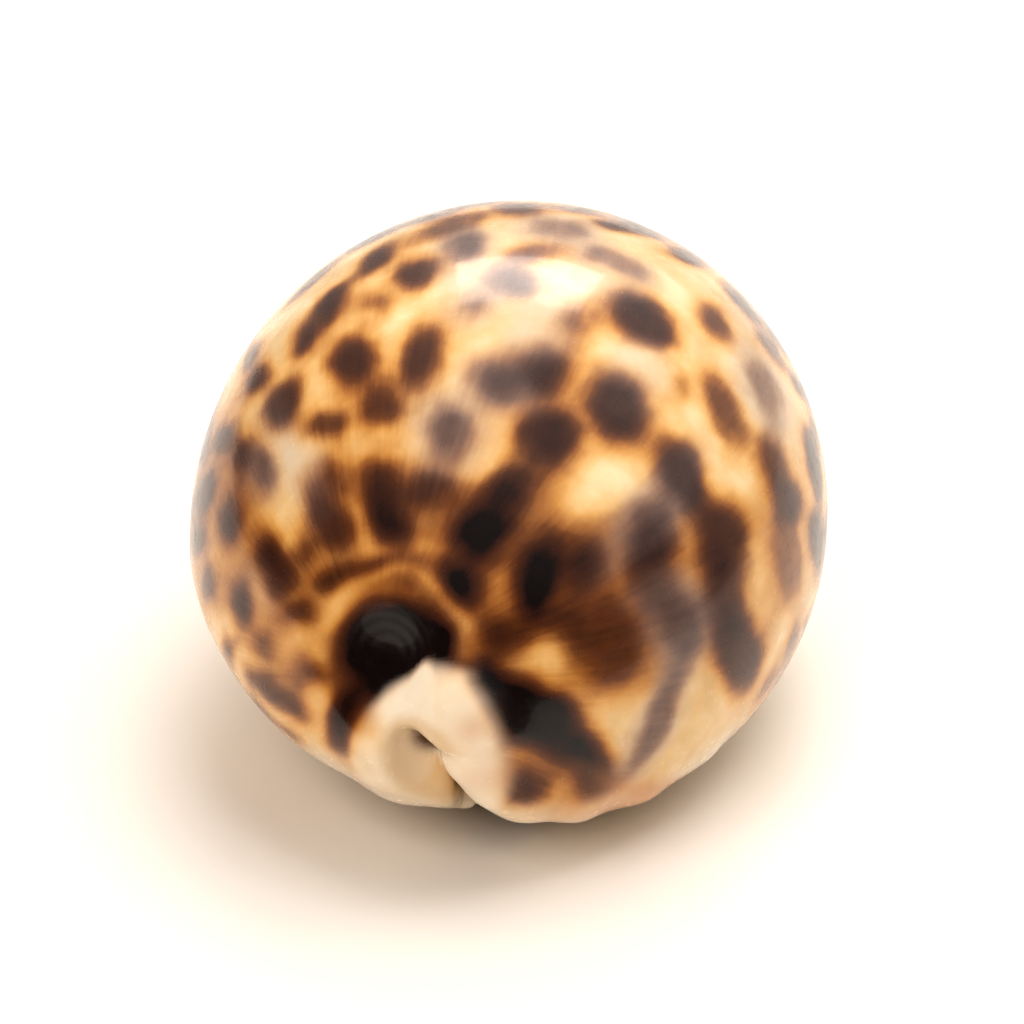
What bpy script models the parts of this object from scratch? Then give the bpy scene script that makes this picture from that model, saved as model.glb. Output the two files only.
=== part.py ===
"""Tiger cowrie shell, one hollow piece lying on its base.

Frame: +Y towards the narrow anterior end, -Y towards the blunt spire end,
+Z up to the domed back, +X towards the outer lip.  The base rests on z = 0.
Sizes below are in millimetres and are turned into metres once, at the end.
"""
import math

import bpy
import bmesh
import numpy as np
from mathutils import Vector

MM = 0.001

# ---- overall size
HALF_LENGTH = 40.0        # body only, the two canals add about 2 mm each
HALF_WIDTH = 28.3
HEIGHT = 43.2
WIDEST_Z = 16.6           # height of the widest line
END_DROP = 4.0            # how far that line falls at the two ends
TAPER = -0.035            # narrower towards +Y
LIP_SIDE_FULLNESS = 2.25  # rounder number = fuller lower flank, +X side
COL_SIDE_FULLNESS = 1.75  # -X side tucks under more
BASE_EDGE = 7.0           # rounding between base and flanks
BASE_SINK = 0.42          # depth trimmed away to leave the flat to rest on
BASE_RISE_SIDE = 1.3
BASE_RISE_END = 3.4
COL_SIDE_RISE = 1.6

# ---- wall
CAVITY_HALF_LENGTH = 35.4
BACK_WALL = 2.4
BASE_WALL = 6.0

# ---- spire pit, at the -Y end left of the middle
SPIRE = (-6.6, -37.2, 20.6)
SPIRE_DEPTH = 1.3
SPIRE_RADIUS = 4.4

# ---- aperture in plan: y, centre x, width
APERTURE = [(-46.0, -0.6, 5.0), (-38.0, 0.0, 5.0), (-33.0, 1.2, 5.0),
            (-27.0, 2.8, 4.8), (-18.0, 5.2, 4.6), (-6.0, 7.0, 4.8),
            (6.0, 7.4, 5.4), (18.0, 6.6, 6.6), (27.0, 4.8, 7.8),
            (33.0, 3.2, 7.4), (38.0, 1.8, 6.4), (46.0, 0.8, 6.2)]
SLOT_DEPTH = 9.0          # how far up the slot is cut, into the cavity
LIP_TOOTH_PITCH = 3.05
LIP_TOOTH = 1.1
COL_TOOTH_PITCH = 2.5
COL_TOOTH = 0.8

# ---- callus ridges: (x, y, z, radius)
SPIRE_LIP = [(-4.4, -35.2, 21.0, 1.7), (-2.7, -36.8, 20.0, 2.0),
             (-0.5, -37.8, 17.6, 2.4), (1.1, -37.9, 14.2, 2.7),
             (2.7, -37.0, 10.8, 3.0), (4.8, -35.3, 8.2, 3.3),
             (8.6, -32.4, 6.8, 3.4), (13.0, -28.6, 6.2, 3.2)]
SPIRE_COLUMELLA = [(-5.6, -34.6, 17.4, 2.2), (-7.6, -34.2, 13.2, 2.9),
                   (-7.8, -32.8, 9.6, 3.1), (-7.0, -29.6, 6.8, 3.1),
                   (-6.0, -25.0, 5.2, 3.0)]
FRONT_LIP = [(2.0, 38.0, 9.2, 2.0), (5.6, 38.4, 6.9, 2.6),
             (8.2, 36.2, 5.4, 3.0), (10.8, 30.5, 4.6, 3.0)]
FRONT_COLUMELLA = [(1.2, 38.0, 9.2, 2.0), (-3.0, 38.2, 6.9, 2.4),
                   (-5.0, 35.6, 5.4, 2.8), (-6.0, 29.5, 4.6, 2.8)]

# ---- hollows cut at the two ends: (x, y, z, radius)
SPIRE_HOLLOW = [(-3.3, -42.4, 13.4, 4.6), (-2.4, -42.2, 8.6, 4.8),
                (0.4, -40.4, 2.6, 4.8)]
SPIRE_CANAL = [(0.4, -28.0, 8.2, 2.5), (-2.0, -34.5, 10.6, 2.5),
               (-2.9, -46.0, 11.4, 2.7)]
SPIRE_CANAL_LOW = [(1.2, -28.0, 6.0, 2.6), (-0.9, -35.0, 7.4, 2.8),
                   (-1.6, -46.0, 7.6, 3.0)]
FRONT_CANAL = [(3.0, 31.0, 6.0, 3.1), (1.6, 38.0, 5.2, 2.9),
               (0.8, 47.0, 4.6, 2.9)]

# ---- mesh finish
VOXEL = 0.62
SMOOTH_FACTOR = 0.5
SMOOTH_STEPS = 9
TRIANGLES = 9600

SHELL_COLOUR = (0.46, 0.27, 0.13, 1.0)
SHELL_ROUGHNESS = 0.22


def smooth_max(a, b, k):
    h = np.maximum(k - np.abs(a - b), 0.0) / k
    return np.maximum(a, b) + h * h * h * k / 6.0


def egg(x, y, z, half_len, half_wid, height, widest, drop, floor):
    """Radial distance to the egg-shaped body, before its base is cut."""
    t = y / half_len
    wid = half_wid * (1.0 + TAPER * t - 0.02 * t * t)
    dz = z - (widest - drop * t * t)
    up = (height - widest) * (1.0 - 0.03 * t)
    down = widest - floor + 4.0
    n = np.where(x > 0, LIP_SIDE_FULLNESS, COL_SIDE_FULLNESS)
    low = (np.abs(x / wid) ** n + np.abs(dz / down) ** n) ** (2.0 / n)
    k = np.sqrt(np.where(dz > 0, (x / wid) ** 2 + (dz / up) ** 2, low)
                + t * t) + 1e-9
    return np.sqrt(x * x + y * y + dz * dz) * (1.0 - 1.0 / k)


def outer_form(x, y, z):
    t = y / HALF_LENGTH
    f = egg(x, y, z, HALF_LENGTH, HALF_WIDTH, HEIGHT, WIDEST_Z, END_DROP, 0.0)
    base = (-BASE_SINK + BASE_RISE_SIDE * (x / 28.0) ** 2
            + BASE_RISE_END * np.abs(t) ** 4
            + COL_SIDE_RISE * (np.maximum(-x, 0.0) / 28.0) ** 2)
    f = smooth_max(f, base - z, BASE_EDGE)
    d = np.sqrt((x - SPIRE[0]) ** 2 + (y - SPIRE[1]) ** 2
                + (z - SPIRE[2]) ** 2)
    return (f + SPIRE_DEPTH * np.exp(-(d / SPIRE_RADIUS) ** 2)
            - 0.45 * np.exp(-((d - 1.8 * SPIRE_RADIUS) / 2.4) ** 2))


def cavity_form(x, y, z):
    f = egg(x, y, z, CAVITY_HALF_LENGTH, HALF_WIDTH - BACK_WALL,
            HEIGHT - BACK_WALL, WIDEST_Z, END_DROP, BASE_WALL - 4.0)
    return smooth_max(f, BASE_WALL - z, 6.0)


def face_outwards(bm):
    if bm.calc_volume(signed=True) < 0.0:
        bmesh.ops.reverse_faces(bm, faces=bm.faces)


def shaped_ball(name, form, centre, segments, rings, coll):
    """UV sphere, poles along Y, each vertex pushed out to the form."""
    bm = bmesh.new()
    bmesh.ops.create_uvsphere(bm, u_segments=segments, v_segments=rings,
                              radius=1.0)
    d = np.array([(v.co.x, v.co.z, -v.co.y) for v in bm.verts])
    d /= np.linalg.norm(d, axis=1)[:, None]
    near = np.full(len(d), 2.0)
    far = np.full(len(d), 60.0)
    for _ in range(34):
        mid = (near + far) / 2.0
        p = np.array(centre) + d * mid[:, None]
        solid = form(p[:, 0], p[:, 1], p[:, 2]) < 0.0
        near = np.where(solid, mid, near)
        far = np.where(solid, far, mid)
    for v, q in zip(bm.verts, np.array(centre) + d * near[:, None]):
        v.co = Vector(q.tolist()) * MM
    face_outwards(bm)
    me = bpy.data.meshes.new(name)
    bm.to_mesh(me)
    bm.free()
    ob = bpy.data.objects.new(name, me)
    coll.objects.link(ob)
    return ob


def curve_to_mesh(ob, coll):
    """Mesh copy of a curve object with its caps welded."""
    dg = bpy.context.evaluated_depsgraph_get()
    dg.update()
    me = bpy.data.meshes.new_from_object(ob.evaluated_get(dg))
    bm = bmesh.new()
    bm.from_mesh(me)
    bmesh.ops.remove_doubles(bm, verts=bm.verts, dist=0.000001)
    bmesh.ops.recalc_face_normals(bm, faces=bm.faces)
    face_outwards(bm)
    bm.to_mesh(me)
    bm.free()
    out = bpy.data.objects.new(ob.name + "_mesh", me)
    out.matrix_world = ob.matrix_world.copy()
    coll.objects.link(out)
    bpy.data.objects.remove(ob, do_unlink=True)
    return out


def rounded_tube(name, stations, coll):
    """Curve with a bevel through (x, y, z, radius) stations."""
    cu = bpy.data.curves.new(name, "CURVE")
    cu.dimensions = "3D"
    cu.resolution_u = 8
    cu.bevel_depth = 1.0 * MM
    cu.bevel_resolution = 5
    cu.use_fill_caps = True
    sp = cu.splines.new("BEZIER")
    sp.bezier_points.add(len(stations) - 1)
    for bp, (x, y, z, r) in zip(sp.bezier_points, stations):
        bp.co = Vector((x, y, z)) * MM
        bp.radius = r
        bp.handle_left_type = bp.handle_right_type = "AUTO"
    ob = bpy.data.objects.new(name, cu)
    coll.objects.link(ob)
    return curve_to_mesh(ob, coll)


def end_ball(name, station, coll):
    bm = bmesh.new()
    bmesh.ops.create_uvsphere(bm, u_segments=24, v_segments=14,
                              radius=station[3] * MM)
    me = bpy.data.meshes.new(name)
    bm.to_mesh(me)
    bm.free()
    ob = bpy.data.objects.new(name, me)
    ob.location = Vector(station[:3]) * MM
    coll.objects.link(ob)
    return ob


def smooth_through(y, ys, vs):
    """Smooth curve through the stations (cubic, slopes from neighbours)."""
    m = np.gradient(vs, ys)
    i = np.clip(np.searchsorted(ys, y) - 1, 0, len(ys) - 2)
    h = ys[i + 1] - ys[i]
    s = (y - ys[i]) / h
    return ((2 * s ** 3 - 3 * s ** 2 + 1) * vs[i]
            + (s ** 3 - 2 * s ** 2 + s) * h * m[i]
            + (3 * s ** 2 - 2 * s ** 3) * vs[i + 1]
            + (s ** 3 - s ** 2) * h * m[i + 1])


def fade(y, y0, y1, y2, y3):
    up = np.clip((y - y0) / (y1 - y0), 0.0, 1.0)
    down = np.clip((y3 - y) / (y3 - y2), 0.0, 1.0)
    return (up * up * (3 - 2 * up)) * (down * down * (3 - 2 * down))


def aperture_cutter(coll):
    """Flat toothed outline, filled and extruded upwards from the base."""
    st = np.array(APERTURE)
    y = np.linspace(st[0, 0], st[-1, 0], 369)
    mid = smooth_through(y, st[:, 0], st[:, 1])
    half = smooth_through(y, st[:, 0], st[:, 2]) / 2.0
    lip = LIP_TOOTH * fade(y, -35.5, -31.0, 33.0, 37.0) \
        * (0.5 + 0.5 * np.cos(2 * math.pi * (y + 1.5) / LIP_TOOTH_PITCH))
    col = COL_TOOTH * fade(y, -34.0, -30.0, 8.0, 13.0) \
        * (0.5 + 0.5 * np.cos(2 * math.pi * (y + 0.7) / COL_TOOTH_PITCH))
    right = np.stack([mid + half - lip, y], 1)
    left = np.stack([mid - half + col, y], 1)[::-1]
    outline = np.concatenate([right, left])
    cu = bpy.data.curves.new("aperture_outline", "CURVE")
    cu.dimensions = "2D"
    cu.fill_mode = "BOTH"
    cu.extrude = (SLOT_DEPTH + 6.0) / 2.0 * MM
    sp = cu.splines.new("POLY")
    sp.points.add(len(outline) - 1)
    for p, (a, b) in zip(sp.points, outline):
        p.co = (float(a) * MM, float(b) * MM, 0.0, 1.0)
    sp.use_cyclic_u = True
    ob = bpy.data.objects.new("aperture_outline", cu)
    ob.location = (0.0, 0.0, (SLOT_DEPTH - 6.0) / 2.0 * MM)
    coll.objects.link(ob)
    return curve_to_mesh(ob, coll)


def boolean(target, other, operation):
    mod = target.modifiers.new(operation.lower() + "_" + other.name, "BOOLEAN")
    mod.operation = operation
    mod.solver = "EXACT"
    mod.object = other


def collection(name):
    c = bpy.data.collections.new(name)
    bpy.context.scene.collection.children.link(c)
    return c


def main():
    for ob in list(bpy.data.objects):
        bpy.data.objects.remove(ob, do_unlink=True)
    parts = collection("cowrie_shell_object")
    cutters = collection("cutters")

    shell = shaped_ball("cowrie_shell", outer_form, (0.0, 0.0, 17.0),
                        112, 84, parts)

    cavity = shaped_ball("cavity", cavity_form, (0.0, 0.0, 18.0),
                         88, 66, cutters)
    boolean(shell, cavity, "DIFFERENCE")
    boolean(shell, rounded_tube("spire_hollow", SPIRE_HOLLOW, cutters),
            "DIFFERENCE")
    for name, stations in (("spire_lip", SPIRE_LIP),
                           ("spire_columella", SPIRE_COLUMELLA),
                           ("front_lip", FRONT_LIP),
                           ("front_columella", FRONT_COLUMELLA)):
        boolean(shell, rounded_tube(name, stations, cutters), "UNION")
        boolean(shell, end_ball(name + "_end", stations[0], cutters), "UNION")

    boolean(shell, aperture_cutter(cutters), "DIFFERENCE")
    for name, stations in (("spire_canal", SPIRE_CANAL),
                           ("spire_canal_low", SPIRE_CANAL_LOW),
                           ("front_canal", FRONT_CANAL)):
        boolean(shell, rounded_tube(name, stations, cutters), "DIFFERENCE")

    remesh = shell.modifiers.new("even_mesh", "REMESH")
    remesh.mode = "VOXEL"
    remesh.voxel_size = VOXEL * MM
    remesh.adaptivity = 0.0
    smooth = shell.modifiers.new("round_edges", "SMOOTH")
    smooth.factor = SMOOTH_FACTOR
    smooth.iterations = SMOOTH_STEPS

    dg = bpy.context.evaluated_depsgraph_get()
    dg.update()
    me = bpy.data.meshes.new_from_object(shell.evaluated_get(dg))
    me.name = "cowrie_shell"
    shell.modifiers.clear()
    shell.data = me
    for ob in cutters.objects:
        ob.hide_render = True
        ob.display_type = "WIRE"

    triangles = sum(len(p.vertices) - 2 for p in me.polygons)
    thin = shell.modifiers.new("fewer_faces", "DECIMATE")
    thin.ratio = TRIANGLES / triangles
    thin.use_collapse_triangulate = True
    dg = bpy.context.evaluated_depsgraph_get()
    dg.update()
    me = bpy.data.meshes.new_from_object(shell.evaluated_get(dg))
    me.name = "cowrie_shell"
    shell.modifiers.clear()
    shell.data = me

    # the worn flat that the shell rests on, and the origin under the middle
    xs = [v.co.x for v in me.vertices]
    ys = [v.co.y for v in me.vertices]
    cx, cy = (min(xs) + max(xs)) / 2.0, (min(ys) + max(ys)) / 2.0
    for v in me.vertices:
        v.co.x -= cx
        v.co.y -= cy
        v.co.z = max(v.co.z, 0.0)
    me.update()
    print("shift_mm", round(cx / MM, 3), round(cy / MM, 3))

    mat = bpy.data.materials.new("glossy_shell")
    mat.use_nodes = True
    bsdf = mat.node_tree.nodes["Principled BSDF"]
    bsdf.inputs["Base Color"].default_value = SHELL_COLOUR
    bsdf.inputs["Roughness"].default_value = SHELL_ROUGHNESS
    bsdf.inputs["Metallic"].default_value = 0.0
    me.materials.clear()
    me.materials.append(mat)
    me.shade_smooth()


main()
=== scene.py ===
"""Looks of the tiger cowrie shell: one smooth shell skin around the CAD frame.

Lengths inside the modelling code are millimetres; the mesh is written in metres.
-Y is the blunt spire end, +X the outer lip side, z = 0 the resting surface.
"""
import math

import bpy
import numpy as np
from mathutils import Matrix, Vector


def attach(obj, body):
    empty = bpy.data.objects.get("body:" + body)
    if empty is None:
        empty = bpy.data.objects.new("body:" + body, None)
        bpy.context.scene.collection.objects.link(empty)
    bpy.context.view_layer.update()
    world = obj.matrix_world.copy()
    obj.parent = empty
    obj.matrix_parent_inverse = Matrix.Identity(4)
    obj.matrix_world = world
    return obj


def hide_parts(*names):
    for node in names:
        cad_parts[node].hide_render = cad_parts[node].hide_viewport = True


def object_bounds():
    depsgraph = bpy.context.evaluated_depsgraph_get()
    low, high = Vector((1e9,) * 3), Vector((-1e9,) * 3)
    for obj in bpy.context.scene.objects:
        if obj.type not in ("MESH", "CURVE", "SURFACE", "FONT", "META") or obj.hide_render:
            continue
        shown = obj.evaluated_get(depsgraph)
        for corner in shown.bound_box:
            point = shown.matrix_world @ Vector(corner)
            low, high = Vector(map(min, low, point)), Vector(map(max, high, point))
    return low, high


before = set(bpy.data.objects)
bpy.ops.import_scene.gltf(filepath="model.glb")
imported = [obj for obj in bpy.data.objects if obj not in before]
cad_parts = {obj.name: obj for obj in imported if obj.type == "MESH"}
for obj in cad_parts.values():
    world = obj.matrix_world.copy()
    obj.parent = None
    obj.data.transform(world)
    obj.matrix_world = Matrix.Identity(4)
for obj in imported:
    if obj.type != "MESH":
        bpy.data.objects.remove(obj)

CAD_BOX = [[float(c) for c in corner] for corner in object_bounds()]

# --------------------------------------------------------------------------
# small maths helpers
# --------------------------------------------------------------------------


def smooth_min(a, b, k):
    h = np.maximum(k - np.abs(a - b), 0.0) / k
    return np.minimum(a, b) - h * h * h * k / 6.0


def smooth_max(a, b, k):
    return -smooth_min(-a, -b, k)


def step(a, b, x):
    t = np.clip((x - a) / (b - a), 0.0, 1.0)
    return t * t * t * (t * (6.0 * t - 15.0) + 10.0)


def through(x, xs, ys):
    """Smooth curve through stations."""
    xs = np.asarray(xs, float)
    ys = np.asarray(ys, float)
    m = np.gradient(ys, xs)
    x = np.clip(x, xs[0], xs[-1])
    i = np.clip(np.searchsorted(xs, x) - 1, 0, len(xs) - 2)
    h = xs[i + 1] - xs[i]
    t = (x - xs[i]) / h
    t2, t3 = t * t, t * t * t
    return ((2 * t3 - 3 * t2 + 1) * ys[i] + (t3 - 2 * t2 + t) * h * m[i]
            + (3 * t2 - 2 * t3) * ys[i + 1] + (t3 - t2) * h * m[i + 1])


def ridge(x, y, z, stations):
    """Distance to a rounded rope through (x, y, z, radius) stations."""
    out = None
    for a, b in zip(stations[:-1], stations[1:]):
        d = np.array(b[:3]) - np.array(a[:3])
        px, py, pz = x - a[0], y - a[1], z - a[2]
        t = np.clip((px * d[0] + py * d[1] + pz * d[2]) / (d @ d), 0.0, 1.0)
        r = a[3] + (b[3] - a[3]) * t
        q = np.sqrt((px - d[0] * t) ** 2 + (py - d[1] * t) ** 2
                    + (pz - d[2] * t) ** 2) - r
        out = q if out is None else smooth_min(out, q, 1.5)
    return out


class Noise:
    """Smooth lattice noise from a seeded table, about -1 to 1."""

    def __init__(self, seed):
        self.t = np.random.default_rng(seed).uniform(-1.0, 1.0, (32, 32, 32))

    def __call__(self, p, size):
        q = p / size + 100.0
        i = np.floor(q).astype(np.int64)
        f = q - i
        f = f * f * (3.0 - 2.0 * f)
        out = 0.0
        for dx in (0, 1):
            wx = f[:, 0] if dx else 1.0 - f[:, 0]
            for dy in (0, 1):
                wy = f[:, 1] if dy else 1.0 - f[:, 1]
                for dz in (0, 1):
                    wz = f[:, 2] if dz else 1.0 - f[:, 2]
                    out = out + wx * wy * wz * self.t[
                        (i[:, 0] + dx) % 32, (i[:, 1] + dy) % 32,
                        (i[:, 2] + dz) % 32]
        return out


# --------------------------------------------------------------------------
# form of the shell
# --------------------------------------------------------------------------
HALF_LENGTH, HALF_WIDTH, HEIGHT = 40.0, 28.3, 43.2
WIDEST_Z, END_DROP, TAPER = 16.6, 4.0, -0.035
SPIRE = (-6.6, -37.2, 20.6)

SLIT_Y = [-46, -38, -33, -27, -18, -6, 6, 18, 27, 33, 38, 46]
SLIT_X = [0.6, 0.6, 1.2, 2.8, 5.2, 7.0, 7.4, 6.6, 4.8, 3.2, 1.8, 0.8]
SLIT_W = [2.6, 2.8, 3.6, 4.8, 5.4, 5.8, 6.6, 8.0, 9.0, 8.4, 7.0, 6.4]
LIP_PITCH, COL_PITCH = 3.05, 2.5

SPIRE_LIP = [(-0.9, -37.2, 18.0, 1.4), (-0.2, -37.7, 17.5, 1.9),
             (0.4, -38.0, 16.4, 2.4), (0.9, -38.2, 14.6, 2.7),
             (1.7, -38.0, 12.5, 2.9), (3.1, -37.0, 10.4, 3.1),
             (5.3, -35.7, 8.9, 3.2), (9.0, -33.2, 7.7, 3.2),
             (13.5, -29.0, 7.1, 3.0), (18.0, -23.5, 7.2, 2.2)]
SPIRE_COL = [(-0.6, -37.4, 17.4, 1.6), (-2.1, -37.5, 16.5, 2.3),
             (-4.0, -37.1, 15.0, 2.5), (-5.6, -36.3, 12.8, 2.9), (-6.0, -35.3, 10.9, 3.1),
             (-5.2, -33.0, 8.8, 3.2), (-4.6, -28.0, 6.8, 3.2)]
SPIRE_DISH = [(-3.1, -40.7, 13.2, 2.9), (-2.2, -40.6, 11.0, 3.1),
              (-0.8, -40.2, 8.4, 3.0), (0.6, -39.6, 3.0, 3.4)]
FRONT_LIP = [(2.0, 38.0, 9.4, 2.0), (5.8, 38.4, 7.2, 2.6),
             (8.6, 36.2, 5.8, 3.0), (11.2, 30.5, 4.8, 3.0)]
FRONT_COL = [(1.2, 38.0, 9.4, 2.0), (-3.0, 38.2, 7.2, 2.4),
             (-5.2, 35.6, 5.8, 2.8), (-6.2, 29.5, 4.8, 2.8)]


def egg(x, y, z, half_len, half_wid, height, floor):
    t = y / half_len
    wid = half_wid * (1.0 + TAPER * t - 0.02 * t * t)
    dz = z - (WIDEST_Z - END_DROP * t * t)
    up = (height - WIDEST_Z) * (1.0 - 0.03 * t)
    down = WIDEST_Z - floor + 4.0
    n = 1.62 + 0.63 * step(-4.0, 4.0, x)
    low = (np.abs(x / wid) ** n + np.abs(dz / down) ** n) ** (2.0 / n)
    k = np.sqrt(np.where(dz > 0, (x / wid) ** 2 + (dz / up) ** 2, low)
                + t * t) + 1e-9
    return np.sqrt(x * x + y * y + dz * dz) * (1.0 - 1.0 / k)


def base_height(x, y):
    t = y / HALF_LENGTH
    post, ant = np.maximum(-t, 0.0), np.maximum(t, 0.0)
    xl = np.maximum(-x, 0.0) / 28.0
    left = 1.0 - step(-5.0, 6.0, x)
    return (-0.42 + 1.3 * (x / 28.0) ** 2 + 5.2 * post ** 4 + 3.6 * ant ** 4
            + 1.6 * xl ** 2 + 4.0 * post ** 3 * xl + 2.6 * left * post ** 3)


def outside(x, y, z):
    b = egg(x, y, z, HALF_LENGTH, HALF_WIDTH, HEIGHT, 0.0)
    b = smooth_max(b, base_height(x, y) - z, 7.0)
    b = smooth_min(b, ridge(x, y, z, SPIRE_COL), 3.6)
    b = smooth_max(b, -ridge(x, y, z, SPIRE_DISH), 2.6)
    b = smooth_min(b, ridge(x, y, z, SPIRE_LIP), 2.2 + 2.0 * step(12.5, 15.5, z))
    b = smooth_min(b, ridge(x, y, z, FRONT_LIP), 5.0)
    b = smooth_min(b, ridge(x, y, z, FRONT_COL), 5.0)
    d = np.sqrt((x - SPIRE[0]) ** 2 + (y - SPIRE[1]) ** 2
                + (z - SPIRE[2]) ** 2)
    return b + 1.5 * np.exp(-(d / 3.8) ** 2) \
        - 0.35 * np.exp(-((d - 7.2) / 2.2) ** 2)


def cavity(x, y, z):
    c = egg(x, y, z, 35.4, HALF_WIDTH - 2.4, HEIGHT - 2.4, 2.0)
    return smooth_max(c, 6.0 - z, 6.0)


def slit(x, y, z):
    mid = through(y, SLIT_Y, SLIT_X)
    half = through(y, SLIT_Y, SLIT_W) / 2.0
    post = step(-24.0, -38.0, y)
    mid = mid - 3.6 * post * step(11.0, 15.0, z)
    top = 9.0 + 5.6 * post - 3.6 * step(30.0, 38.0, y)
    low = step(8.0, 5.0, z)
    lip = (0.5 + 0.5 * np.cos(2 * math.pi * (y + 1.5) / LIP_PITCH)) \
        * step(-35.5, -31.5, y) * step(37.0, 33.0, y)
    col = (0.5 + 0.5 * np.cos(2 * math.pi * (y + 0.7) / COL_PITCH)) \
        * step(-34.0, -30.0, y) * step(13.0, 8.0, y)
    u = x - mid
    e = np.where(u > 0, u - (half - 1.15 * lip * low),
                 -u - (half - 0.85 * col * low))
    return smooth_max(smooth_max(e, z - top, 5.0), -(z + 8.0), 1.0)


def field(x, y, z):
    """Negative inside the shell wall."""
    s = smooth_max(outside(x, y, z), -cavity(x, y, z), 1.2)
    s = smooth_max(s, -slit(x, y, z), 2.4)
    under = smooth_max(ridge(x, y, z, SPIRE_LIP), y + 34.5, 2.0)
    s = smooth_min(s, under, 1.0 + 3.0 * step(13.0, 15.5, z))
    return smooth_max(s, -z, 0.15)


# --------------------------------------------------------------------------
# skin: even quads on the zero surface of the field
# --------------------------------------------------------------------------
def sample_field(h):
    lo = np.array([-31.0, -44.0, -2.0])
    hi = np.array([31.0, 44.0, 46.0])
    block = 4
    n = (np.ceil((hi - lo) / (h * block)).astype(int)) * block + 1
    ax = [lo[i] + h * np.arange(n[i]) for i in range(3)]
    cax = [a[::block] for a in ax]
    cx, cy, cz = np.meshgrid(*cax, indexing="ij")
    coarse = field(cx, cy, cz)
    near = np.abs(coarse) < h * block * 1.6 + 0.6
    cells = np.zeros([m - 1 for m in coarse.shape], bool)
    for i in (0, 1):
        for j in (0, 1):
            for k in (0, 1):
                cells |= near[i:coarse.shape[0] - 1 + i,
                              j:coarse.shape[1] - 1 + j,
                              k:coarse.shape[2] - 1 + k]
    idx = [np.minimum(np.arange(m) // block, c - 2)
           for m, c in zip(n, coarse.shape)]
    nearest = [np.rint(np.arange(m) / block).astype(int) for m in n]
    f = coarse[np.ix_(*nearest)].copy()
    mask = cells[np.ix_(*idx)]
    edge = mask.copy()
    for a in range(3):
        edge |= np.roll(mask, 1, a)
    i, j, k = np.nonzero(edge)
    f[i, j, k] = field(ax[0][i], ax[1][j], ax[2][k])
    return ax, f


def skin(ax, f):
    solid = f < 0
    nx, ny, nz = f.shape
    total = sum(solid[i:nx - 1 + i, j:ny - 1 + j, k:nz - 1 + k].astype(np.int8)
                for i in (0, 1) for j in (0, 1) for k in (0, 1))
    active = (total > 0) & (total < 8)
    cells = np.argwhere(active)
    index = -np.ones(active.shape, np.int64)
    index[active] = np.arange(len(cells))
    pos = np.zeros((len(cells), 3))
    count = np.zeros(len(cells))
    i0, j0, k0 = cells.T
    for axis in range(3):
        o = [a for a in range(3) if a != axis]
        for p in (0, 1):
            for q in (0, 1):
                off = np.zeros(3, int)
                off[o[0]], off[o[1]] = p, q
                end = off.copy()
                end[axis] = 1
                a = f[i0 + off[0], j0 + off[1], k0 + off[2]]
                b = f[i0 + end[0], j0 + end[1], k0 + end[2]]
                m = (a < 0) != (b < 0)
                t = np.where(m, a / np.where(m, a - b, 1.0), 0.0)
                v = np.tile(off.astype(float), (len(cells), 1))
                v[:, axis] += t
                pos[m] += v[m]
                count[m] += 1
    h = ax[0][1] - ax[0][0]
    pts = (pos / count[:, None] + cells) * h + np.array([a[0] for a in ax])
    quads = []
    for axis in range(3):
        o = [a for a in range(3) if a != axis]
        s0 = [slice(None)] * 3
        s1 = [slice(None)] * 3
        s0[axis], s1[axis] = slice(0, -1), slice(1, None)
        e = np.argwhere(solid[tuple(s0)] != solid[tuple(s1)])
        e = e[(e[:, o[0]] > 0) & (e[:, o[1]] > 0)
              & (e[:, o[0]] < f.shape[o[0]] - 1)
              & (e[:, o[1]] < f.shape[o[1]] - 1)]
        first = solid[tuple(e.T)]
        quad = []
        for d0, d1 in ((1, 1), (0, 1), (0, 0), (1, 0)):
            c = e.copy()
            c[:, o[0]] -= d0
            c[:, o[1]] -= d1
            quad.append(index[tuple(c.T)])
        quad = np.stack(quad, 1)
        keep = first if axis != 1 else ~first
        quad[~keep] = quad[~keep][:, ::-1]
        quads.append(quad)
    return pts, np.concatenate(quads)


def gradient(p, e=0.03):
    g = np.empty_like(p)
    for a in range(3):
        d = np.zeros(3)
        d[a] = e
        g[:, a] = (field(*(p + d).T) - field(*(p - d).T)) / (2 * e)
    return g


def relax(pts, quads, steps):
    """Even out the quads along the surface, then put them back on it."""
    n = len(pts)
    a = quads
    b = np.roll(quads, -1, 1)
    for _ in range(steps):
        acc = np.zeros((n, 3))
        cnt = np.zeros(n)
        for c in range(4):
            for k in range(3):
                acc[:, k] += np.bincount(a[:, c], pts[b[:, c], k], n)
            cnt += np.bincount(a[:, c], minlength=n)
        avg = acc / np.maximum(cnt, 1)[:, None]
        g = gradient(pts)
        g2 = np.maximum((g * g).sum(1), 0.05)
        nn = g / np.sqrt(g2)[:, None]
        d = avg - pts
        d -= (d * nn).sum(1)[:, None] * nn
        pts = pts + 0.6 * d
        fv = field(*pts.T)
        pts = pts - np.clip(fv / g2, -0.3, 0.3)[:, None] * g
    return pts


H = 0.45
axes, grid = sample_field(H)
P, Q = skin(axes, grid)
P = relax(P, Q, 3)
G = gradient(P)
fv = field(*P.T)
P = P - np.clip(fv / np.maximum((G * G).sum(1), 0.05), -0.2, 0.2)[:, None] * G
G = gradient(P)
N = G / np.maximum(np.linalg.norm(G, axis=1), 1e-6)[:, None]

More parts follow.
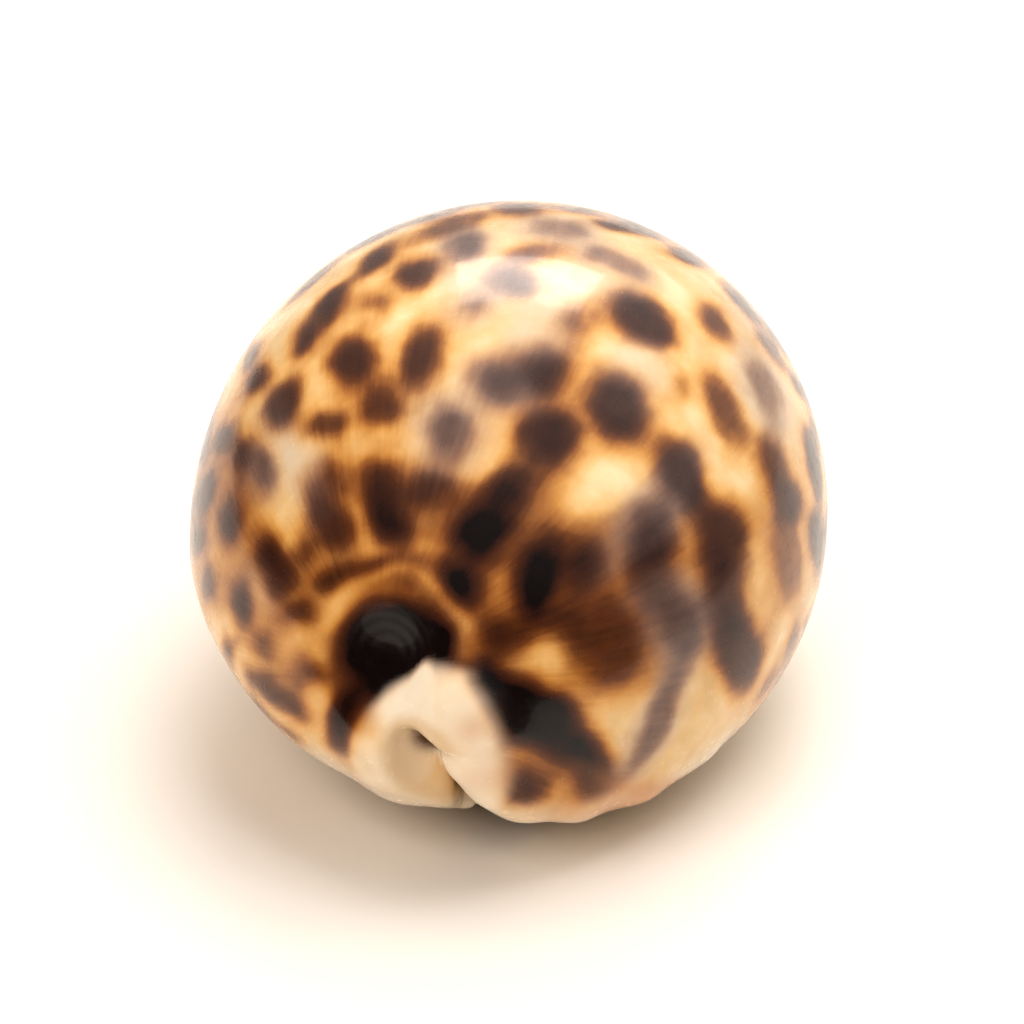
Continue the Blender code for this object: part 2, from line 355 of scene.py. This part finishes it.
# --------------------------------------------------------------------------
# colour layout: soft spots laid on the body
# --------------------------------------------------------------------------
# (x, y, z) on the back, half size along / across the line from the spire,
# turn in degrees, strength, kind: d plain, k very dark, v under a grey veil
# (partly the shell's grey tone, partly painted reflection), s smoky black band, o orange streak
SPOTS = [
    (-8, -6.5, 42, 2.6, 1.7, 15, 0.85, "d"),
    (-4, -2, 43, 2.8, 1.6, 10, 0.75, "v"),
    (-11, -10, 40, 1.7, 0.9, 30, 0.55, "d"),
    (-2, -12.5, 41.5, 1.5, 1.2, 30, 0.5, "v"),
    (1, -8.5, 42.5, 2.1, 1.9, 45, 0.65, "v"),
    (2.5, -3, 43, 2.3, 1.4, -25, 0.6, "d"),
    (7.5, -0.5, 42.5, 1.7, 0.9, -5, 0.6, "v"),
    (10.5, -1.5, 41.5, 1.6, 1.5, 60, 0.5, "v"),
    (12, -9, 40, 3.1, 2.7, 40, 0.92, "d"),
    (7, -12.5, 41, 1.6, 1.0, 15, 0.6, "d"),
    (18, -2.5, 37, 2.5, 1.7, 15, 0.7, "d"),
    (-12, -16, 38, 2.8, 1.6, 25, 0.9, "d"),
    (-5.5, -18, 39.5, 3.1, 1.7, 10, 0.85, "d"),
    (1.5, -20.5, 38.5, 2.0, 1.7, 25, 0.8, "v"),
    (5, -19, 39, 2.3, 1.8, 15, 0.92, "d"),
    (16, -14.5, 36, 1.2, 0.7, 20, 0.5, "d"),
    (20, -12.5, 33.5, 3.1, 2.0, 55, 0.65, "d"),
    (-18, -16.5, 34, 2.6, 2.1, 0, 0.82, "d"),
    (-13, -21.5, 34.5, 2.1, 1.4, 40, 0.75, "d"),
    (-8.5, -21.5, 36.5, 2.4, 1.6, 20, 0.8, "d"),
    (-2.5, -25, 36, 2.3, 1.7, 25, 0.75, "v"),
    (11.5, -20, 36.5, 3.0, 2.3, 40, 0.95, "d"),
    (6, -25, 35.5, 2.8, 2.5, 15, 0.95, "d"),
    (17, -22, 31, 2.9, 2.5, 70, 0.95, "d"),
    (24, -11.5, 28.5, 2.7, 2.1, 10, 0.68, "d"),
    (25.5, -12.5, 25, 2.8, 1.9, -10, 0.92, "d"),
    (-12, -26, 32, 1.3, 0.9, 45, 0.65, "d"),
    (-19, -21.5, 29.5, 2.0, 1.1, 25, 0.6, "v"),
    (-12, -29, 29.5, 3.4, 1.4, 15, 0.82, "d"),
    (-7.5, -29, 32, 2.5, 1.7, 25, 0.85, "d"),
    (-6, -31.5, 30, 2.2, 1.5, 30, 0.95, "d"),
    (-3.5, -29, 32.5, 1.5, 1.4, 70, 0.8, "d"),
    (3, -29.5, 32.5, 2.2, 1.7, -25, 0.92, "d"),
    (1, -32, 30, 2.2, 2.1, 20, 1, "k"),
    (-0.5, -35.5, 26.5, 2.1, 1.9, 35, 1, "k"),
    (6, -34, 27, 3.0, 1.6, 35, 1, "k"),
    (10, -32, 27, 2.0, 1.4, 50, 0.85, "d"),
    (15, -28, 27.5, 3.1, 1.9, 55, 0.85, "d"),
    (20.5, -23, 26, 3.0, 2.6, 30, 0.78, "d"),
    (21, -25, 22, 2.7, 2.3, -65, 0.66, "d"),
    (22.5, -25, 16.5, 4.3, 2.5, -40, 0.85, "d"),
    (17.5, -30, 21.5, 2.7, 2.1, -65, 0.6, "v"),
    (11.5, -35, 21, 3.4, 3.0, 35, 0.55, "d"),
    (8, -35.5, 24, 1.8, 1.6, -10, 0.5, "d"),
    (3, -37, 23, 1.7, 1.6, 50, 0.85, "d"),
    (-11, -33, 25.5, 1.9, 1.0, 60, 0.75, "d"),
    (-7.5, -34, 26.5, 1.8, 1.1, 85, 0.85, "d"),
    (-4.5, -35, 26.5, 1.3, 1.0, -70, 0.88, "d"),
    (-13, -35.5, 17.5, 2.0, 0.7, -10, 0.7, "d"),
    (-15, -6.5, 39, 2.6, 1.5, -5, 0.9, "d"),
    (-17, -9.5, 37, 2.0, 1.2, 10, 0.85, "d"),
    (-12, -0.5, 41, 3.0, 1.6, 0, 0.85, "d"),
    (-6, 4, 42.5, 3.8, 2.2, -20, 0.6, "d"),
    (4, 3.5, 42.5, 2.8, 2.2, -30, 0.5, "v"),
    (23, -5, 32, 3.0, 2.6, 25, 0.5, "v"),
    (26, -16, 20.5, 4.5, 2.7, -65, 0.45, "d"),
    (-5.5, -36, 22, 3.7, 1.9, -55, 1, "k"),
    (-6.5, -37, 18.8, 2.6, 1.8, 0, 1, "k"),
    (-2.6, -38, 19.8, 2.2, 1.2, 0, 1, "k"),
    (1.4, -37.8, 19.4, 1.7, 0.8, -35, 1, "k"),
    (-1.5, -38, 22.5, 1.5, 1.2, -45, 1, "k"),
    (-8.5, -36, 19.5, 1.7, 1.2, -20, 0.95, "k"),
    (-10, -38, 15.5, 3.1, 1.3, 10, 0.9, "s"),
    (-8, -35, 22.5, 1.5, 1.2, 85, 1, "k"),
    (1.5, -39.5, 20.5, 2.2, 0.9, -20, 1, "s"),
    (4.5, -39, 18, 2.7, 2.0, -15, 1, "k"),
    (7, -38.5, 16.5, 2.5, 1.8, -15, 1, "k"),
    (9.5, -38, 13, 2.9, 1.6, -25, 0.9, "k"),
    (11, -36.5, 10, 2.2, 1.3, -20, 0.85, "d"),
    (6, -40, 10.5, 2.1, 1.6, -15, 0.85, "d"),
    (10.5, -36.5, 7.5, 1.4, 1.2, 20, 0.6, "d"),
    (13.5, -33, 5, 3.2, 1.3, -5, 0.7, "o"),
    (16.5, -30, 5.5, 6.7, 1.0, -5, 0.65, "o"),
    (9, -36.5, 5.5, 2.6, 1.0, -5, 0.45, "o"),
    (0.8, -40.6, 16.2, 1.0, 0.6, 70, 0.5, "o"),
    (2.8, -40.5, 12.0, 1.8, 1.0, 70, 0.3, "o"),
    (16, -33, 13.5, 4.4, 1.3, 75, 0.6, "v"),
    (3, -41, 15, 2.9, 1.2, -40, 0.85, "d"),
    (-21.5, -10, 33, 2.1, 1.1, 20, 0.85, "d"),
    (-24, -12.5, 28, 2.3, 1.1, 15, 0.82, "d"),
    (-21, -18, 29, 1.6, 1.2, 0, 0.7, "d"),
    (-25.5, -14.5, 23.5, 2.5, 1.3, 10, 0.85, "d"),
    (-22, -21.5, 25, 1.7, 1.4, 10, 0.88, "d"),
    (-17.5, -28, 25, 2.3, 1.2, 5, 0.92, "d"),
    (-24, -21.5, 18.5, 1.8, 0.8, 20, 0.7, "d"),
    (-20, -28, 20, 1.9, 1.3, -55, 0.88, "d"),
    (-14, -33, 22, 1.7, 1.0, 20, 0.7, "d"),
    (-17.5, -31, 17.5, 1.2, 0.8, 25, 0.6, "d"),
    (-17.5, -32, 14, 2.2, 0.9, -15, 0.7, "d"),
    (-21.5, -27, 14.5, 1.9, 0.8, 20, 0.65, "d"),
    (-14, -29.5, 27, 1.3, 0.9, 0, 0.6, "d"),
    (-26, -16, 20, 2.3, 1.0, 20, 0.8, "d"),
    (-15, -34.5, 14, 1.7, 0.8, -35, 0.65, "d"),
    (-16, -30, 23.5, 1.3, 1.0, 30, 0.6, "d"),
    (-22.5, -4, 32, 2.4, 1.2, 15, 0.8, "d"),
    (-26.5, -7, 25, 2.4, 1.3, 5, 0.8, "d"),
    (-24.5, -19, 13, 2.2, 1.0, 10, 0.6, "d"),
]

VIEW = np.array([math.sin(math.radians(6.5)) * math.cos(math.radians(25.3)),
                 -math.cos(math.radians(6.5)) * math.cos(math.radians(25.3)),
                 math.sin(math.radians(25.3))])

warp_a, warp_b, warp_c = Noise(11), Noise(12), Noise(13)
fine_a, fine_b, fine_c = Noise(14), Noise(15), Noise(16)
WARP = np.stack([warp_a(P, 5.0) * 0.8 + fine_a(P, 1.9) * 0.32,
                 warp_b(P, 5.0) * 0.8 + fine_b(P, 1.9) * 0.32,
                 warp_c(P, 5.0) * 0.8 + fine_c(P, 1.9) * 0.32], 1)
PW = P + WARP

OUT = outside(*P.T)
SKIN = step(-1.6, -0.5, OUT)          # 1 on the outer skin, 0 in the slit
BASE = base_height(P[:, 0], P[:, 1])


def surface_point(p):
    """Push a point on to the outer form and give its outward normal."""
    p = np.array(p, float)
    for _ in range(6):
        g = np.array([(outside(*(p + d)) - outside(*(p - d))) / 0.1
                      for d in np.eye(3) * 0.05])
        p = p - g * outside(*p) / (g @ g)
    return p, g / np.linalg.norm(g)


def spot_weight(spot):
    """(vertex numbers, 0-1 profile) of one soft-edged oval spot."""
    x, y, z, a, b, turn, strength, kind = spot
    a, b = a * 1.06 + 0.12, b * 1.06 + 0.12
    c, n = surface_point((x, y, z))
    e1 = c - np.array(SPIRE)
    e1 = e1 - (e1 @ n) * n
    e1 /= np.linalg.norm(e1)
    e2 = np.cross(n, e1)
    ca, sa = math.cos(math.radians(turn)), math.sin(math.radians(turn))
    u, v = ca * e1 + sa * e2, -sa * e1 + ca * e2
    q = PW - c
    near = np.nonzero((q * q).sum(1) < (max(a, b) * 2.0 + 4.5) ** 2)[0]
    q = q[near]
    d = np.sqrt((q @ u / a) ** 2 + (q @ v / b) ** 2
                + (q @ n / (1.2 * max(a, b))) ** 2)
    # millimetres from the edge, so every spot has the same soft halo
    e = (d - 1.0) * math.sqrt(a * b)
    core = 1.0 - step(-2.0, 1.6, e)
    halo = 1.0 - step(-0.6, 3.2, e)
    return near, strength * (0.68 * core + 0.32 * halo)


def lay(spots):
    keep = np.ones(len(P))
    for s in spots:
        near, w = spot_weight(s)
        keep[near] *= 1.0 - np.clip(w, 0.0, 1.0)
    return 1.0 - keep


# the far side and the hidden flank carry the same kind of spots
rng = np.random.default_rng(7)
taken = [np.array(s[:3]) for s in SPOTS]
sizes = [max(s[3], s[4]) for s in SPOTS]
filler = []
pool = np.nonzero((N @ VIEW < 0.26) & (OUT > -0.2) & (P[:, 2] > 8.5)
                  & (N[:, 2] > -0.55))[0]
T, R = np.array(taken), np.array(sizes)
for i in rng.permutation(pool)[:9000]:
    c = P[i]
    low = c[2] < 13.0
    a = rng.uniform(1.6, 3.3) * (0.8 if low else 1.0)
    b = a * rng.uniform(0.55, 0.9)
    if (np.linalg.norm(T - c, axis=1) > 0.88 * (a + R) + 0.9).all():
        T, R = np.vstack([T, c]), np.append(R, a)
        filler.append((*c, a, b, rng.uniform(-35, 35),
                       rng.uniform(0.65, 1.0) * (0.8 if low else 1.0), "d"))

# brown, not black, hearts everywhere but round the spire
plain = [s if s[7] in "ks" else (*s[:6], s[6] * 0.86, s[7])
         for s in SPOTS if s[7] in "dks"] + [(*s[:6], s[6] * 0.86, "d") for s in filler]
spots_under_sheen = [s for s in SPOTS if s[7] == "v"]
pigment = lay(plain + [(*s[:6], s[6] * 0.85, "v") for s in spots_under_sheen])
# grey veil round the v spots: partly the shell's grey tone, partly painted reflection
grey_tone_and_sheen = lay([(s[0], s[1], s[2], s[3] * 1.5, s[4] * 1.6, s[5], 0.75, "v")
            for s in spots_under_sheen])

# broad lilac-grey veils lying over the pattern, partly the shell's own grey tone and partly
# painted reflection of the bright studio: x, y, z, a, b, turn, strength
GREY_TONE_AND_SHEEN_PATCHES = [
    (4, -14, 41, 5.0, 2.6, 10, 0.55), (-3.5, -8, 42.5, 4.2, 2.0, 20, 0.5),
    (15, -25, 29.5, 6.5, 2.0, 20, 0.75), (12.5, -16, 38, 4.5, 2.2, 20, 0.45),
    (-15, -24, 31, 4.5, 1.6, 10, 0.55), (-19, -18.5, 33, 3.6, 1.6, 10, 0.45),
    (16.5, -32, 14.5, 6.5, 1.5, 70, 0.75), (9, -4, 42, 4.5, 3.0, 0, 0.45),
    (-19, -28.5, 22, 3.2, 1.8, 0, 0.35), (0, -22, 37.5, 4.0, 1.6, 5, 0.45),
    (22, 6, 34, 6.0, 3.0, 0, 0.4), (-10, 12, 40, 6.0, 2.6, 0, 0.4),
]
grey_tone_and_sheen = np.maximum(grey_tone_and_sheen, lay([(*s, "v") for s in GREY_TONE_AND_SHEEN_PATCHES]))

# broad amber wash in the gaps of the crowded areas
WASH = [
    (11.5, -32, 26, 6.5, 5.0, 0, 0.8), (14, -31, 20, 5.0, 4.0, 0, 0.75),
    (-2, -31, 31.5, 9.0, 3.0, 90, 0.55), (4, -31, 31, 4.0, 3.5, 0, 0.6),
    (-14, -32, 22, 4.0, 7.0, 0, 0.45), (-23, -20, 23, 8.0, 7.0, 0, 0.6),
    (-24, -12, 27, 6.0, 5.0, 0, 0.55), (22, -22, 22, 7.0, 6.0, 0, 0.35),
    (5, -20, 38.5, 6.0, 5.0, 0, 0.3), (0, 24, 33, 16.0, 16.0, 0, 0.35),
]
wash = lay([(*s, "w") for s in WASH])
# a clear arch stands over the dark spire pit
near_spire = np.sqrt(((PW - np.array([-5.6, -37.0, 20.6])) ** 2).sum(1))
arch = np.exp(-((near_spire - 6.4) / 1.1) ** 2) * step(19.0, 22.5, P[:, 2]) \
    * (1.0 - step(2.0, 5.0, P[:, 0]))
pigment = pigment * (1.0 - 0.55 * arch)
wash = wash * (1.0 - 0.35 * arch)

# white callus: base, lips of the slit, the ridge that climbs to the spire
x, y, z = P.T
rim = z - BASE
margin = 1.2 + 4.2 * step(13.0, 22.0, x) * step(-14.0, -24.0, y) \
    + 3.6 * step(-22.0, -6.0, y)
white_base = 1.0 - step(0.0, 4.0, rim - margin + 1.2 * warp_a(PW, 7.0))
lip_d = ridge(x, y, z, SPIRE_LIP)
col_d = ridge(x, y, z, SPIRE_COL)
fl_d = np.minimum(ridge(x, y, z, FRONT_LIP), ridge(x, y, z, FRONT_COL))
ridge_edge = through(z, [6.0, 9.0, 12.0, 14.0, 16.0, 18.0, 20.0],
                     [3.0, 2.9, 2.9, 2.7, 2.2, 1.2, 0.0])
callus = np.maximum(white_base, (1.0 - step(0.0, 1.0, lip_d - 1.0 * step(12.5, 16.0, z)))
                    * (1.0 - step(-0.7, 2.5, x - ridge_edge + 0.4 * fine_b(PW, 3.0))))
callus = np.maximum(callus, 1.0 - step(0.1, 1.3, col_d - 1.1 * step(14.2, 15.4, z)
                                       * step(-4.5, -2.5, x) + 0.2 * fine_a(PW, 2.0)))
callus = np.maximum(callus, 1.0 - step(0.8, 2.4, fl_d + 0.5 * fine_c(PW, 2.0)))
callus = np.clip(callus, 0, 1)
# painted shade: deep in the slit the wall is given a very dark warm brown in place of the shade
# inside the shell
inside = step(-1.5, -7.0, OUT)

orange = lay([s for s in SPOTS if s[7] == "o"])
# painted shade in the little hollow beside the ridge: darker beige over the hollow, and a dark
# brown painted shadow where the canal opens
dish_shade = (1.0 - step(0.1, 1.5, np.abs(ridge(x, y, z, SPIRE_DISH)))) \
    * step(0.2, 1.0, lip_d) * (y < -34.0)
# painted shadow: a dark brown patch where the canal opens, in place of the shade deep in the
# canal
canal_shadow = np.sqrt((x + 2.7) ** 2 + ((y + 38.2) * 0.5) ** 2 + ((z - 13.9) * 0.8) ** 2)
canal_shadow = (1.0 - step(0.5, 2.2, canal_shadow)) * (y < -34.0)

pigment = pigment * (1.0 - 0.96 * callus) * SKIN
grey_tone_and_sheen = grey_tone_and_sheen * (1.0 - callus) * SKIN
wash = wash * (1.0 - callus) * SKIN

# --------------------------------------------------------------------------
# mesh object
# --------------------------------------------------------------------------
# seat the skin exactly where the CAD body stands
lo, hi = P.min(0), P.max(0)
cad_lo, cad_hi = np.array(CAD_BOX[0]) * 1000.0, np.array(CAD_BOX[1]) * 1000.0
SHIFT = np.array([*((cad_lo + cad_hi) / 2 - (lo + hi) / 2)[:2], cad_lo[2] - lo[2]])
V = (P + SHIFT) / 1000.0
V[:, 2] = np.maximum(V[:, 2], 0.0)

mesh = bpy.data.meshes.new("shell_skin")
mesh.vertices.add(len(V))
mesh.vertices.foreach_set("co", V.astype(np.float32).ravel())
mesh.loops.add(len(Q) * 4)
mesh.loops.foreach_set("vertex_index", Q.astype(np.int32).ravel())
mesh.polygons.add(len(Q))
mesh.polygons.foreach_set("loop_start", np.arange(0, len(Q) * 4, 4, dtype=np.int32))
mesh.update(calc_edges=True)
mesh.validate()
mesh.polygons.foreach_set("use_smooth", np.ones(len(mesh.polygons), bool))
for name, values in (("pigment", pigment), ("grey_tone_and_sheen", grey_tone_and_sheen), ("wash", wash),
                     ("callus", callus), ("inside", inside), ("orange", orange),
                     ("dish_shade", dish_shade), ("canal_shadow", canal_shadow)):
    a = mesh.attributes.new(name, "FLOAT", "POINT")
    a.data.foreach_set("value", values.astype(np.float32))
flow = mesh.attributes.new("flow", "FLOAT_VECTOR", "POINT")
turn = np.arctan2(x - SPIRE[0], z - SPIRE[2] + 1e-6)
away = np.sqrt(((P - np.array(SPIRE)) ** 2).sum(1))
flow.data.foreach_set("vector", np.stack(
    [turn * 22.0, away * 0.14, 0.0 * away], 1).astype(np.float32).ravel() / 1000.0)
a = mesh.attributes.new("spire", "FLOAT", "POINT")
a.data.foreach_set("value", away.astype(np.float32))
mesh.normals_split_custom_set_from_vertices([tuple(n) for n in N])
shell = bpy.data.objects.new("shell_skin", mesh)
bpy.context.scene.collection.objects.link(shell)


# --------------------------------------------------------------------------
# material
# --------------------------------------------------------------------------
def node_graph(name):
    m = bpy.data.materials.new(name)
    m.use_nodes = True
    m.node_tree.nodes.clear()
    return m, m.node_tree.nodes, m.node_tree.links


mat, nodes, links = node_graph("glossy_cowrie")


def attribute(name):
    n = nodes.new("ShaderNodeAttribute")
    n.attribute_name = name
    return n.outputs["Fac"]


def noise(scale, detail=4.0, rough=0.55, distort=0.0, vector=None):
    n = nodes.new("ShaderNodeTexNoise")
    n.inputs["Scale"].default_value = scale
    n.inputs["Detail"].default_value = detail
    n.inputs["Roughness"].default_value = rough
    n.inputs["Distortion"].default_value = distort
    links.new(vector or coords, n.inputs["Vector"])
    return n.outputs["Fac"]


def math_node(op, a, b=None, clamp=False):
    n = nodes.new("ShaderNodeMath")
    n.operation = op
    n.use_clamp = clamp
    for i, v in enumerate((a, b)):
        if v is None:
            continue
        if isinstance(v, (int, float)):
            n.inputs[i].default_value = v
        else:
            links.new(v, n.inputs[i])
    return n.outputs[0]


def mix(fac, a, b, kind="MIX"):
    n = nodes.new("ShaderNodeMix")
    n.data_type = "RGBA"
    n.blend_type = kind
    n.clamp_factor = True
    for sock, v in ((n.inputs["Factor"], fac), (n.inputs["A"], a),
                    (n.inputs["B"], b)):
        pass
    fi = [s for s in n.inputs if s.enabled]
    for sock, v in zip(fi, (fac, a, b)):
        if isinstance(v, (int, float)):
            sock.default_value = v
        elif isinstance(v, tuple):
            sock.default_value = (*v, 1.0)
        else:
            links.new(v, sock)
    return [s for s in n.outputs if s.enabled][0]


def ramp(fac, stops, mode="B_SPLINE"):
    n = nodes.new("ShaderNodeValToRGB")
    n.color_ramp.interpolation = mode
    e = n.color_ramp.elements
    while len(e) > 1:
        e.remove(e[-1])
    e[0].position, e[0].color = stops[0][0], (*stops[0][1], 1.0)
    for pos, col in stops[1:]:
        k = e.new(pos)
        k.color = (*col, 1.0)
    links.new(fac, n.inputs["Fac"])
    return n.outputs["Color"]


def spread(value, lo_, hi_, to_lo, to_hi):
    n = nodes.new("ShaderNodeMapRange")
    n.clamp = True
    for i, v in enumerate((lo_, hi_, to_lo, to_hi), 1):
        n.inputs[i].default_value = v
    links.new(value, n.inputs[0])
    return n.outputs[0]


tex = nodes.new("ShaderNodeTexCoord")
coords = tex.outputs["Object"]
# coordinates that fan out from the spire, for the fine brushed streaks
fan = nodes.new("ShaderNodeAttribute")
fan.attribute_name = "flow"
along = fan.outputs["Vector"]

cloud = noise(170.0, 3.0)
grain = noise(900.0, 4.0, 0.6)
streak = noise(1500.0, 3.0, 0.62, 0.2, along)
broad = noise(420.0, 2.0, 0.5, 0.3, along)

pig = attribute("pigment")
half = math_node("MULTIPLY", pig, math_node("SUBTRACT", 1.0, pig))
pig = math_node("ADD", pig, math_node("MULTIPLY", attribute("wash"),
                math_node("MULTIPLY", math_node("SUBTRACT", 1.0, pig), 0.40)))
pig = math_node("ADD", pig, math_node("MULTIPLY", math_node("SUBTRACT", grain, 0.5), 0.07))
brushed = math_node("ADD", math_node("MULTIPLY", math_node("SUBTRACT", streak, 0.5), 0.6),
                    math_node("MULTIPLY", math_node("SUBTRACT", broad, 0.5), 0.7))
brushed = math_node("MULTIPLY", brushed, spread(attribute("spire"), 5.0, 14.0, 0.25, 1.0))
pig = math_node("ADD", pig, math_node("MULTIPLY", brushed,
                math_node("ADD", math_node("MULTIPLY", half, 0.9), 0.05)))
mottle = noise(330.0, 2.0, 0.5, 0.4)
pig = math_node("ADD", pig, math_node("MULTIPLY", math_node("SUBTRACT", mottle, 0.42), 0.16))
pig = math_node("ADD", pig, math_node("MULTIPLY", math_node("SUBTRACT", cloud, 0.5), 0.14), True)

cream = ramp(cloud, [(0.32, (0.70, 0.44, 0.19)), (0.5, (0.82, 0.56, 0.27)),
                     (0.68, (0.92, 0.72, 0.45))], "LINEAR")
spots = ramp(pig, [(0.02, (1.0, 1.0, 1.0)), (0.13, (0.95, 0.80, 0.60)),
                   (0.26, (0.76, 0.53, 0.28)), (0.40, (0.45, 0.25, 0.12)),
                   (0.55, (0.20, 0.092, 0.046)), (0.70, (0.095, 0.040, 0.025)),
                   (0.84, (0.052, 0.019, 0.015)), (0.95, (0.006, 0.002, 0.003))], "LINEAR")
skin_col = mix(1.0, cream, spots, "MULTIPLY")
# grey colours of the veils: partly the shell's own tone, partly painted reflection
grey = ramp(pig, [(0.1, (0.60, 0.49, 0.39)), (0.35, (0.34, 0.24, 0.19)),
                  (0.6, (0.17, 0.115, 0.10)), (0.85, (0.07, 0.042, 0.038))], "LINEAR")
grey_sheen_fac = math_node("MULTIPLY", attribute("grey_tone_and_sheen"), spread(cloud, 0.30, 0.55, 0.65, 1.0))
skin_col = mix(grey_sheen_fac, skin_col, grey)
white = ramp(cloud, [(0.3, (0.86, 0.70, 0.50)), (0.7, (0.92, 0.80, 0.64))], "LINEAR")
body_col = mix(attribute("callus"), skin_col, white)
body_col = mix(math_node("MULTIPLY", attribute("orange"), 0.9), body_col,
               (0.60, 0.24, 0.075))
# painted shade: darker beige in the hollow beside the ridge
body_col = mix(math_node("MULTIPLY", attribute("dish_shade"), 0.7), body_col, (0.66, 0.45, 0.24))
# painted shadow at the canal opening: dark brown
body_col = mix(math_node("MULTIPLY", attribute("canal_shadow"), 0.85), body_col, (0.12, 0.055, 0.035))
# painted shade inside the aperture: very dark brown
body_col = mix(attribute("inside"), body_col, (0.16, 0.075, 0.05))

shader = nodes.new("ShaderNodeBsdfPrincipled")
shader.inputs["IOR"].default_value = 1.5
shader.inputs["Subsurface Weight"].default_value = 0.08
shader.inputs["Subsurface Radius"].default_value = (1.0, 0.5, 0.3)
shader.inputs["Subsurface Scale"].default_value = 0.0015
shader.inputs["Specular IOR Level"].default_value = 0.32
shader.inputs["Coat Weight"].default_value = 0.30
shader.inputs["Coat Roughness"].default_value = 0.06
links.new(body_col, shader.inputs["Base Color"])
links.new(spread(grain, 0.3, 0.7, 0.16, 0.30), shader.inputs["Roughness"])
bump = nodes.new("ShaderNodeBump")
bump.inputs["Strength"].default_value = 0.06
bump.inputs["Distance"].default_value = 0.0003
rings = math_node("SINE", math_node("MULTIPLY", attribute("spire"), 7.0))
rings = math_node("MULTIPLY", rings, spread(attribute("spire"), 2.5, 5.0, 0.8, 0.0))
links.new(math_node("ADD", rings, math_node("ADD", math_node("MULTIPLY", streak, 0.5),
                                            cloud)), bump.inputs["Height"])
links.new(bump.outputs["Normal"], shader.inputs["Normal"])
out = nodes.new("ShaderNodeOutputMaterial")
links.new(shader.outputs["BSDF"], out.inputs["Surface"])
mesh.materials.append(mat)

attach(shell, "root")
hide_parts("cowrie_shell")

# --------------------------------------------------------------------------
# floor, light, camera
# --------------------------------------------------------------------------
bpy.ops.mesh.primitive_plane_add(size=2.4, location=(0, 0, 0))
floor = bpy.context.object
floor.name = "floor"
fmat, nodes, links = node_graph("studio_white")
f_sh = nodes.new("ShaderNodeBsdfPrincipled")
f_sh.inputs["Base Color"].default_value = (0.86, 0.805, 0.745, 1.0)
f_sh.inputs["Roughness"].default_value = 0.55
f_sh.inputs["Specular IOR Level"].default_value = 0.3
f_out = nodes.new("ShaderNodeOutputMaterial")
links.new(f_sh.outputs["BSDF"], f_out.inputs["Surface"])
floor.data.materials.append(fmat)

world = bpy.data.worlds.new("studio")
world.use_nodes = True
nodes, links = world.node_tree.nodes, world.node_tree.links
bg = nodes["Background"]
# bright behind, above and to the right; dim on the camera's side
wtex = nodes.new("ShaderNodeTexCoord")
wdot = nodes.new("ShaderNodeVectorMath")
wdot.operation = "DOT_PRODUCT"
wdot.inputs[1].default_value = (0.30, 0.52, 0.80)
links.new(wtex.outputs["Generated"], wdot.inputs[0])
glow = ramp(wdot.outputs["Value"], [(0.0, (0.10, 0.095, 0.09)), (0.45, (0.42, 0.40, 0.38)),
                                    (0.95, (0.95, 0.93, 0.90))], "EASE")
# seen directly, the studio behind the table is plain pale cream
ray = nodes.new("ShaderNodeLightPath")
seen = mix(ray.outputs["Is Camera Ray"], glow, (0.96, 0.92, 0.87))
links.new(seen, bg.inputs["Color"])
bg.inputs["Strength"].default_value = 1.0
bpy.context.scene.world = world


def softbox(name, place, aim, size, watts, colour):
    light = bpy.data.lights.new(name, "AREA")
    light.shape = "RECTANGLE"
    light.size, light.size_y = size
    light.energy = watts
    light.color = colour
    o = bpy.data.objects.new(name, light)
    o.location = place
    o.rotation_euler = (Vector(aim) - Vector(place)).to_track_quat("-Z", "Y").to_euler()
    bpy.context.scene.collection.objects.link(o)
    return o


key = softbox("key_softbox", (0.36, 0.38, 1.25), (0, 0, 0.02), (1.3, 1.3), 14.8,
              (1.0, 0.98, 0.95))
fill = softbox("front_fill", (-0.50, -0.85, 0.85), (0, 0, 0.02), (1.1, 0.8), 9.5,
               (1.0, 0.95, 0.9))
sheen = softbox("top_sheen", (-0.03, 0.90, 0.82), (0, 0, 0.03), (0.55, 0.40), 3.2,
                (1.0, 0.98, 0.96))
# diffused panels: they light the shell but leave no hard window on the gloss
key.visible_glossy = False
fill.visible_glossy = False

AIM = Vector((0.0, 0.0, 0.021)) + Vector(tuple(SHIFT / 1000.0))
camera = bpy.data.cameras.new("camera")
camera.lens = 176.9
camera.sensor_width = 36.0
camera.clip_start, camera.clip_end = 0.01, 20.0
camera.dof.use_dof = False
cam = bpy.data.objects.new("camera", camera)
cam.location = AIM + Vector(tuple(VIEW)) * 0.450
look = AIM + Vector((0.0, 0.0, -0.0046))
cam.rotation_euler = (look - cam.location).to_track_quat("-Z", "Y").to_euler()
bpy.context.scene.collection.objects.link(cam)
bpy.context.scene.camera = cam
bpy.context.scene.view_settings.view_transform = "Standard"
bpy.context.scene.view_settings.look = "Medium High Contrast"
bpy.context.scene.view_settings.exposure = -0.2
bpy.context.scene.view_settings.gamma = 1.0
